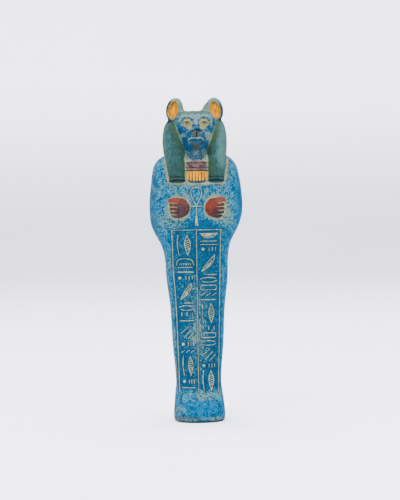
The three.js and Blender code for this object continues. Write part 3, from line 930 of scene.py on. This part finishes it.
    def paint_zones(self, carving: Carving) -> None:
        """Paint the zones by the form that each point lies on, rub the edges between them, and add painted
        shade and painted highlights.
        """
        points = carving.points
        x, z = points[:, 0], points[:, 2]
        side = np.abs(x)
        ears = [*self.ear_forms(), self.ear_foot]
        groups = (self.wig_forms(), self.face_forms(), ears, self.hand_forms())
        wig, face, ear, hand = (self.nearest(forms, points) for forms in groups)
        body, band, bib = (form.distance(points) for form in (self.body, self.band, self.bib))
        head, skin, cloth = least(wig, ear), least(body, face), least(band, bib)
        drift = 0.18 * carving.rough(2.2)
        ahead = carving.front
        on_wig = smooth(-0.3, 0.3, least(skin, cloth, ear) - wig + drift)
        on_face = smooth(-0.3, 0.3, least(body, head, cloth) - face + drift)
        on_hand = smooth(-0.25, 0.25, body - hand + drift)
        on_band = smooth(-0.25, 0.25, least(skin, wig, bib) - band)
        on_body = smooth(-0.3, 0.3, least(head, face, hand, cloth) - body)
        on_ear = smooth(-0.3, 0.3, least(skin, wig, cloth) - ear + drift)
        crown = smooth(198.6, 199.4, z + 2 * drift)
        carving.paint(Zone.WIG, most(on_wig, on_ear, crown))
        carving.paint(Zone.FACE, on_face)
        carving.paint(Zone.EAR, on_ear * smooth(0.35, -0.15, carving.normals[:, 1]))
        carving.paint(Zone.HAND, on_hand)
        carving.paint(Zone.BAND, on_band)
        scallop = np.abs(np.cos(math.pi * x / self.petal_pitch)) ** 1.5 - 0.02 * x**2
        on_bib = smooth(-0.25, 0.25, least(skin, wig, band) - bib)
        carving.paint(Zone.GOLD, on_bib * smooth(0.0, 0.4, z - self.petal_end + scallop))
        carving.paint(Zone.INK_AND_SHADE, 0.6 * on_bib * smooth(0.2, -0.2, z - self.petal_end + scallop))

        # Darker green on the tresses beside the face, low on their inner sides and at the left one's lower
        # end: painted shade.
        inner = smooth(6.5, 2.0, face + 4 * drift) * smooth(163.0, 168.0, z)
        foot = smooth(13.4, 9.2, side + 4 * drift) * smooth(172.0, 165.0, z)
        hem = np.where(x < 0, smooth(160.0, 156.0, z), 0.0)
        carving.paint(Zone.WIG_SHADE, on_wig * ahead * most(inner, 0.8 * foot, 0.8 * hem))
        carving.paint(Zone.OLIVE, on_wig * ahead * smooth(1.7, 0.5, skin + 2 * drift))
        # Lighter toward the tresses' outer sides, more on the right: painted highlight.
        outer = smooth(14.5, 20.0, np.where(x > 0, side + 3.5, side)) * smooth(156.0, 168.0, z)
        carving.paint(Zone.PALE_AND_HIGHLIGHT, on_wig * np.where(x > 0, 0.9, 0.5) * outer)

        thumb = smooth(self.hand_z + 3.4, self.hand_z + 4.0, z) * smooth(7.0, 13.0, side)
        tips = smooth(11.5, 14.0, side) * smooth(self.hand_z - 3.5, self.hand_z + 1.0, z)
        flush = smooth(self.hand_z + 1.0, self.hand_z + 5.0, z)
        warm = np.where(x > 0, 0.62 * carving.oval((8.6, self.hand_z + 0.6), (6.4, 7.4)), 0.12 + 0.3 * flush)
        carving.paint(Zone.RED, on_hand * most(thumb, warm, 0.6 * tips))
        # Darker at the lower outer part of the right fist: painted shade.
        dark = smooth(9.5, 14.0, x) * smooth(self.hand_z + 0.6, self.hand_z - 3.0, z)
        carving.paint(Zone.INK_AND_SHADE, 0.55 * on_hand * dark * (1 - carving.zones[Zone.CREAM]))

        off_hand = 1.15 * hand + 2.4 * smooth(5.2, 3.2, side)
        near = least(wig, cloth, off_hand) + 0.5 * carving.rough(2.6)
        halo = most(0.78 * smooth(2.6, 1.1, near), 0.44 * smooth(6.0, 1.5, near))
        carving.paint(Zone.CREAM, on_body * halo * ahead)
        reach = wig + drift - 0.8 * smooth(176.0, 172.0, z)
        edge = smooth(1.5, 0.7, reach) * on_face * smooth(197.5, 195.5, z) + smooth(0.9, 0.3, reach) * on_band
        edge = most(edge, smooth(1.7, 0.9, cloth) * on_face)
        carving.paint(Zone.CREAM, 0.66 * edge * ahead)

        inside = smooth(1.2, 0.0, np.abs(x - self.panel.x) - self.panel.half(z, x - self.panel.x))
        belly = 0.7 * smooth(24.0, 17.0, side) * smooth(133.0, 127.0, z) * smooth(112.0, 118.0, z)
        field_share = inside * smooth(17.0, 22.0, z) * smooth(124.0, 123.0, z)
        carving.paint(Zone.PANEL, most(field_share, belly) * ahead)
        carving.paint(Zone.WORN, self.wear(carving))
        # Deeper blue along the outer sides of the arms, where they turn away: painted shade.
        arms = smooth(23.5, 27.5, side) * smooth(114.0, 122.0, z) * smooth(166.0, 158.0, z)
        carving.paint(Zone.DEEP_AND_SHADE, 0.34 * on_body * arms)
        # A dark line along the very bottom edge: painted shade where the base meets the floor.
        carving.paint(Zone.INK_AND_SHADE, 0.85 * smooth(1.7, 0.7, z))
        grime = smooth(5.0, 3.4, z + 3 * drift) * smooth(1.4, 2.2, z) * smooth(6.0, -2.0, x)
        carving.paint(Zone.TAN, 0.52 * grime)
        for height, size in self.waves:
            carving.push(height * carving.rough(size))

    def wear(self, carving: Carving) -> np.ndarray:
        """Tell how far the blue paint is rubbed.

        Args:
            carving: The surface.

        Returns:
            Each point's share, about 0.4 where the paint is in good order.
        """
        x, z = carving.points[:, 0], carving.points[:, 2]
        ahead = carving.front
        panel = carving.zones[Zone.PANEL]

        def spot(middle: Point, radii: Point) -> np.ndarray:
            """Return a soft rubbed spot on the front."""
            across, up = (x - middle[0]) / radii[0], (z - middle[1]) / radii[1]
            return ahead * np.exp(-(across**2) - up**2)

        chest = 0.26 * spot((3, 141), (21, 14)) + 0.14 * spot((22, 158), (8, 11))
        chest -= 0.24 * spot((self.panel.x, 136), (5, 15))
        belly = 0.26 * spot((-18, 129), (9, 9)) + 0.14 * spot((18, 132), (8, 9))
        seam = 0.42 * spot((self.panel.x, 58), (6, 26)) + 0.2 * spot((0, 17.5), (30, 4))
        left_leg = smooth(-12.0, -16.0, x) * smooth(118.0, 100.0, z) * smooth(12.0, 30.0, z)
        right_leg = smooth(12.0, 16.0, x) * smooth(118.0, 100.0, z)
        toes = ahead * smooth(3.0, 6.0, z) * smooth(15.0, 11.0, z) * smooth(-10.0, 2.0, x)
        arms = smooth(20.0, 27.0, np.abs(x)) * smooth(116.0, 126.0, z) * np.sign(x)
        sides = 0.12 * left_leg - 0.08 * right_leg - 0.22 * toes - 0.08 * arms
        sole = 0.22 * smooth(5.5, 2.5, z)
        return 0.28 + chest + belly + seam + sides + sole - 0.12 * panel + 0.12 * carving.rough(14.0)

    def set_down(self, figure: bpy.types.Object) -> None:
        """Move the figure over the origin, level its sole and keep it inside the solid's box."""
        mesh = figure.data
        points = read(mesh.vertices, "co")
        points[:, 1] += OUTLINE_SHIFT * MM
        points[points[:, 2] < self.sole_level * MM, 2] = 0.0
        points = np.clip(points, np.array(CAD_BOX[0]), np.array(CAD_BOX[1]))
        mesh.vertices.foreach_set("co", points.ravel())
        mesh.update()
        deselect()
        figure.select_set(True)
        bpy.context.view_layer.objects.active = figure
        bpy.ops.object.shade_smooth()

    def dress(self, figure: bpy.types.Object, finish: "PaintedStone") -> None:
        """Give the figure its finish and stand it for the solid."""
        figure.data.materials.clear()
        figure.data.materials.append(finish.material())
        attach(figure, "root")
        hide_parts("figurine")


class Value:
    """A number that changes over a surface; sums on it add Math nodes."""

    def __init__(self, bench: "Bench", socket: Socket) -> None:
        """Wrap a socket of a bench's tree."""
        self.bench = bench
        self.socket = socket

    def _math(self, operation: str, first: "Value | float", second: "Value | float") -> "Value":
        """Add a Math node and return its result."""
        made = self.bench.node("ShaderNodeMath", {"operation": operation}, {0: first, 1: second})
        return Value(self.bench, made.outputs[0])

    def __add__(self, other: "Value | float") -> "Value":
        """Return the sum."""
        return self._math("ADD", self, other)

    __radd__ = __add__

    def __sub__(self, other: "Value | float") -> "Value":
        """Return the difference."""
        return self._math("SUBTRACT", self, other)

    def __rsub__(self, other: "Value | float") -> "Value":
        """Return the difference from a number."""
        return self._math("SUBTRACT", other, self)

    def __mul__(self, other: "Value | float") -> "Value":
        """Return the product."""
        return self._math("MULTIPLY", self, other)

    __rmul__ = __mul__

    def rise(self, low: float, high: float) -> "Value":
        """Rise smoothly from 0 to 1.

        Args:
            low: Number at which the rise starts.
            high: Number at which it ends.

        Returns:
            The share from 0 to 1.
        """
        settings = {"interpolation_type": "SMOOTHSTEP"}
        made = self.bench.node("ShaderNodeMapRange", settings, {0: self, 1: low, 2: high, 3: 0.0, 4: 1.0})
        return Value(self.bench, made.outputs[0])


class Bench:
    """A material's node tree and the one way to add nodes to it."""

    def __init__(self, name: str) -> None:
        """Start an empty material."""
        self.material = bpy.data.materials.new(name)
        self.material.use_nodes = True
        self.tree = self.material.node_tree
        self.tree.nodes.clear()

    def node(self, kind: str, settings: dict | None = None, sockets: dict | None = None) -> bpy.types.Node:
        """Add a node.

        Args:
            kind: The node's type.
            settings: Its own properties, which are set first.
            sockets: Values or links of its inputs, by name or number.

        Returns:
            The node.
        """
        made = self.tree.nodes.new(kind)
        for name, value in (settings or {}).items():
            setattr(made, name, value)
        for key, value in (sockets or {}).items():
            plain = value.socket if isinstance(value, Value) else value
            if isinstance(plain, bpy.types.NodeSocket):
                self.tree.links.new(plain, made.inputs[key])
            else:
                made.inputs[key].default_value = plain
        return made

    def noise(self, place: Socket, scale: float, detail: float, rough: float) -> Value:
        """Add a noise field around 0.5, with `scale` features per metre."""
        sockets = {"Vector": place, "Scale": scale, "Detail": detail, "Roughness": rough}
        return Value(self, self.node("ShaderNodeTexNoise", None, sockets).outputs[0])

    def zone(self, zone: Zone) -> Value:
        """Read a painted zone's share."""
        made = self.node("ShaderNodeAttribute", {"attribute_name": zone.value})
        return Value(self, made.outputs["Fac"])

    def finish(self, sockets: dict) -> bpy.types.Material:
        """Add the shader and the output.

        Args:
            sockets: Values or links of the shader's inputs.

        Returns:
            The finished material.
        """
        shader = self.node("ShaderNodeBsdfPrincipled", None, sockets)
        self.node("ShaderNodeOutputMaterial", None, {"Surface": shader.outputs[0]})
        return self.material

    def mix(self, share: Value, under: "Socket | Pigment", over: "Socket | Pigment") -> Socket:
        """Lay one colour over another.

        Args:
            share: How much of the upper colour shows.
            under: Colour below.
            over: Colour above.

        Returns:
            The mixed colour.
        """
        colours = [c.linear() if isinstance(c, Pigment) else c for c in (under, over)]
        sockets = {0: share, 6: colours[0], 7: colours[1]}
        return self.node("ShaderNodeMix", {"data_type": "RGBA"}, sockets).outputs[2]


@dataclass(frozen=True)
class Pigment:
    """A paint's colour in screen values from 0 to 255."""

    red: int
    green: int
    blue: int

    def linear(self) -> tuple[float, float, float, float]:
        """Return the colour as the shader counts it."""
        shares = [c / 255 for c in (self.red, self.green, self.blue)]
        light = [s / 12.92 if s <= 0.04045 else ((s + 0.055) / 1.055) ** 2.4 for s in shares]
        return (light[0], light[1], light[2], 1.0)


@dataclass(frozen=True)
class PaintedStone:
    """Matt mineral paint on soft stone, rubbed back along edges and in the carving, with painted shade and
    highlights mixed into its colours.
    """

    deep_blue: Pigment = Pigment(0, 45, 69)
    bright_blue: Pigment = Pigment(0, 80, 114)
    faded: Pigment = Pigment(58, 102, 102)
    panel_blue: Pigment = Pigment(0, 36, 57)
    face_blue: Pigment = Pigment(1, 47, 70)
    face_pale: Pigment = Pigment(70, 93, 91)
    strong_blue_and_shade: Pigment = Pigment(0, 40, 69)
    wig_green: Pigment = Pigment(20, 43, 43)
    wig_pale: Pigment = Pigment(47, 77, 74)
    wig_shade: Pigment = Pigment(32, 48, 30)
    olive: Pigment = Pigment(54, 76, 42)
    ear_grey: Pigment = Pigment(84, 95, 87)
    gold: Pigment = Pigment(177, 117, 0)
    gold_deep: Pigment = Pigment(102, 68, 14)
    red: Pigment = Pigment(88, 34, 25)
    thumb: Pigment = Pigment(88, 42, 36)
    hand_brown: Pigment = Pigment(62, 44, 43)
    hand_deep: Pigment = Pigment(36, 24, 27)
    band: Pigment = Pigment(89, 70, 63)
    band_deep: Pigment = Pigment(59, 46, 44)
    cream: Pigment = Pigment(122, 138, 110)
    stone: Pigment = Pigment(92, 97, 67)
    eye: Pigment = Pigment(103, 100, 64)
    tan: Pigment = Pigment(52, 53, 41)
    ink_and_shade: Pigment = Pigment(3, 16, 28)
    bump: float = 0.45
    bump_depth: float = 0.0005
    gloss: float = 0.03

    def material(self) -> bpy.types.Material:
        """Mix the paint layer by layer.

        Returns:
            The material.
        """
        bench = Bench("painted_stone")
        place = bench.node("ShaderNodeTexCoord").outputs["Object"]
        broad = bench.noise(place, 60.0, 3.0, 0.5)
        patch = bench.noise(place, 280.0, 5.0, 0.6)
        speck = bench.noise(place, 880.0, 4.0, 0.6)
        grain = bench.noise(place, 1700.0, 3.0, 0.6)
        drawn = bench.node("ShaderNodeMapping", None, {"Vector": place, "Scale": (2.4, 1.0, 0.35)})
        streak = bench.noise(drawn.outputs[0], 800.0, 4.0, 0.6)
        fleck = 0.7 * speck + 0.3 * grain

        def mottled(zone: Zone, spread: float) -> Value:
            """Break a zone's share into flecks."""
            share = bench.zone(zone)
            return (share + spread * (fleck - 0.5)).rise(0.25, 0.7) * share.rise(0.05, 0.3)

        blend = 0.3 * patch + 0.7 * fleck
        even = 0.5 * patch + 0.5 * fleck
        red, gilt, cream = (bench.zone(zone) for zone in (Zone.RED, Zone.GOLD, Zone.CREAM))
        worn = bench.zone(Zone.WORN) + 0.8 * (patch - 0.5) + 2.4 * (fleck - 0.5) + 0.4 * (broad - 0.5)
        # The pale zone makes the wig lighter toward the tresses' outer sides: painted highlight.
        lighter = 0.5 * streak + 0.3 * patch + 0.2 * fleck + 0.2 * (bench.zone(Zone.PALE_AND_HIGHLIGHT) - 0.4)
        warm = (red + 1.6 * (patch - 0.5) + 2.0 * (fleck - 0.5)).rise(0.15, 0.95)
        # On the ears the gold zone's share falls toward the hollow's edges and top, which darkens the gold
        # there: painted shade.
        shine = streak + 0.5 * (gilt - 0.9)
        bright = cream.rise(0.6, 1.0) * (0.35 + 0.75 * patch.rise(0.42, 0.58))

        panel = bench.mix(blend.rise(0.46, 0.6), self.panel_blue, self.deep_blue)
        face = bench.mix(even.rise(0.46, 0.62), self.face_blue, self.face_pale)
        wig = bench.mix(lighter.rise(0.36, 0.66), self.wig_green, self.wig_pale)
        # Darker green on the tresses beside the face and at their lower ends: painted shade.
        wig = bench.mix(0.75 * bench.zone(Zone.WIG_SHADE) * patch.rise(0.2, 0.55), wig, self.wig_shade)
        ear = bench.mix((0.5 * streak + 0.5 * patch).rise(0.38, 0.6), self.wig_pale, self.ear_grey)
        brown = bench.mix(blend.rise(0.42, 0.58), self.hand_deep, self.hand_brown)
        hand = bench.mix(warm, brown, self.red)
        hand = bench.mix((red + 0.8 * (fleck - 0.5)).rise(0.86, 1.0), hand, self.thumb)
        band = bench.mix(speck.rise(0.38, 0.62), self.band_deep, self.band)
        gold = bench.mix(shine.rise(0.38, 0.56), self.gold_deep, self.gold)
        bare = bench.mix(bright, self.stone, self.cream)

        paint = bench.mix(blend.rise(0.42, 0.54), self.deep_blue, self.bright_blue)
        layers = (
            (0.7 * bench.zone(Zone.PANEL), panel),
            (0.7 * worn.rise(0.34, 0.56), self.faded),
            (0.75 * worn.rise(0.48, 0.7), self.stone),
            (bench.zone(Zone.FACE), face),
            # Pale paint, and painted highlights on the cheeks.
            (mottled(Zone.PALE_AND_HIGHLIGHT, 2.6), self.face_pale),
            # Painted shade beside the carved lines, about the muzzle and along the arms, and the nose's own
            # deep blue.
            (0.85 * mottled(Zone.DEEP_AND_SHADE, 2.6), self.strong_blue_and_shade),
            (bench.zone(Zone.WIG), wig),
            (0.75 * mottled(Zone.OLIVE, 1.4), self.olive),
            (bench.zone(Zone.EAR), ear),
            (bench.zone(Zone.HAND), hand),
            (bench.zone(Zone.BAND), band),
            (gilt.rise(0.1, 0.6), gold),
            (mottled(Zone.TAN, 2.0), self.tan),
            (0.9 * mottled(Zone.EYE, 1.6), self.eye),
            (0.95 * mottled(Zone.CREAM, 2.0), bare),
            # Dark paint lines and outlines, with painted shade under the mouth, on the right fist's lower
            # outer part and along the bottom edge.
            (bench.zone(Zone.INK_AND_SHADE), self.ink_and_shade),
        )
        for share, colour in layers:
            paint = bench.mix(share, paint, colour)

        relief = {"Strength": self.bump, "Distance": self.bump_depth, "Height": even}
        bump = bench.node("ShaderNodeBump", None, relief)
        sockets = {"Base Color": paint, "Roughness": 0.55 + 0.3 * speck, "Normal": bump.outputs[0]}
        return bench.finish({**sockets, "Specular IOR Level": self.gloss})


@dataclass(frozen=True)
class Studio:
    """Pale sweep, soft light and the photograph's camera, in metres."""

    sweep_near: float = -3.0
    sweep_far: float = 1.7
    sweep_half: float = 3.0
    sweep_height: float = 3.0
    cove: float = 0.9
    eye_distance: float = 0.9
    eye_height: float = 0.1103
    turn_deg: float = -2.5
    roll_deg: float = 0.9
    side: float = 0.0021
    lens: float = 99.2
    aim: Place = (0.0, 0.0, 0.1)
    sky: Pigment = Pigment(244, 246, 255)
    glow: float = 0.45
    pale: Pigment = Pigment(238, 238, 244)
    paler: Pigment = Pigment(241, 241, 247)
    backdrop_shade: Pigment = Pigment(181, 181, 191)
    lamps: tuple[tuple[str, Place, float, float], ...] = (
        ("key", (-0.7, -1.3, 1.6), 1.0, 62.0),
        ("fill", (1.1, -1.2, 1.1), 1.2, 28.0),
        ("top", (0.0, 0.1, 1.9), 1.4, 60.0),
        ("wash", (0.0, 0.5, 2.6), 1.4, 80.0),
    )

    def floor(self) -> bpy.types.Object:
        """Make the floor, swept up behind the figure, with a band of painted shade across the cove.

        Returns:
            The sweep.
        """
        deselect()
        middle = (self.sweep_near + self.sweep_far) / 2
        bpy.ops.mesh.primitive_plane_add(size=1.0, location=(0, middle, 0))
        sweep = bpy.context.object
        sweep.name = "floor"
        sweep.scale = (2 * self.sweep_half, self.sweep_far - self.sweep_near, 1.0)
        bpy.ops.object.transform_apply(location=True, rotation=True, scale=True)
        for edge in sweep.data.edges:
            edge.select = all(sweep.data.vertices[i].co.y > middle for i in edge.vertices)
        bpy.context.tool_settings.mesh_select_mode = (False, True, False)
        bpy.ops.object.mode_set(mode="EDIT")
        bpy.ops.mesh.extrude_region_move(TRANSFORM_OT_translate={"value": (0, 0, self.sweep_height)})
        bpy.ops.object.mode_set(mode="OBJECT")
        for edge in sweep.data.edges:
            ends = [sweep.data.vertices[i].co for i in edge.vertices]
            edge.select = all(e.y > self.sweep_far - 0.01 and e.z < 0.01 for e in ends)
        bpy.ops.object.mode_set(mode="EDIT")
        bpy.ops.mesh.bevel(offset=self.cove, segments=24)
        bpy.ops.object.mode_set(mode="OBJECT")
        bpy.ops.object.shade_smooth()
        bench = Bench("pale_sweep")
        place = bench.node("ShaderNodeTexCoord").outputs["Object"]
        tone = bench.noise(place, 3.0, 2.0, 0.5)
        colour = bench.mix(tone.rise(0.3, 0.7), self.pale, self.paler)
        height = Value(bench, bench.node("ShaderNodeSeparateXYZ", None, {0: place}).outputs["Z"])
        # A grey band across the cove behind the figure, darkest a little above the floor: painted shade.
        shade = height.rise(-0.01, 0.09) * (1.0 - height.rise(0.14, 0.42))
        colour = bench.mix(shade, colour, self.backdrop_shade)
        sweep.data.materials.append(bench.finish({"Base Color": colour, "Roughness": 0.9}))
        return sweep

    def light(self, name: str, place: Place, size: float, power: float) -> None:
        """Hang one soft light that looks at the figure.

        Args:
            name: Its name.
            place: Where it hangs.
            size: Side of its square.
            power: Its power in watts.
        """
        lamp = bpy.data.lights.new(name, "AREA")
        lamp.size = size
        lamp.energy = power
        holder = bpy.data.objects.new(name, lamp)
        holder.location = place
        aim = Vector(self.aim) - Vector(place)
        holder.rotation_euler = aim.to_track_quat("-Z", "Y").to_euler()
        holder.visible_camera = False
        bpy.context.scene.collection.objects.link(holder)

    def lights(self) -> None:
        """Hang the soft lights and set the sky's even glow."""
        world = bpy.data.worlds.new("tent")
        world.use_nodes = True
        sky = world.node_tree.nodes["Background"]
        sky.inputs[0].default_value = self.sky.linear()
        sky.inputs[1].default_value = self.glow
        bpy.context.scene.world = world
        for lamp in self.lamps:
            self.light(*lamp)

    def camera(self) -> None:
        """Set the camera where the photograph was taken."""
        turn = math.radians(self.turn_deg)
        eye = Vector((math.sin(turn), -math.cos(turn), 0.0)) * self.eye_distance
        across = Vector((math.cos(turn), math.sin(turn), 0.0)) * self.side
        lens = bpy.data.cameras.new("eye")
        lens.lens = self.lens
        holder = bpy.data.objects.new("eye", lens)
        holder.location = eye + across + Vector((0.0, 0.0, self.eye_height))
        spin = Euler((math.pi / 2, 0.0, turn)).to_quaternion()
        holder.rotation_mode = "QUATERNION"
        holder.rotation_quaternion = spin @ Euler((0.0, 0.0, -math.radians(self.roll_deg))).to_quaternion()
        bpy.context.scene.collection.objects.link(holder)
        bpy.context.scene.camera = holder


def main() -> None:
    """Build the figure and its studio, and report each piece."""
    logging.basicConfig(level=logging.INFO, format="%(name)s: %(message)s")
    maker = Figurine()
    figure = maker.build()
    maker.dress(figure, PaintedStone())
    LOG.info("%s: %d triangles", figure.name, sum(len(face.vertices) - 2 for face in figure.data.polygons))
    studio = Studio()
    LOG.info("%s: staged", studio.floor().name)
    studio.lights()
    studio.camera()


if __name__ == "__main__":
    main()
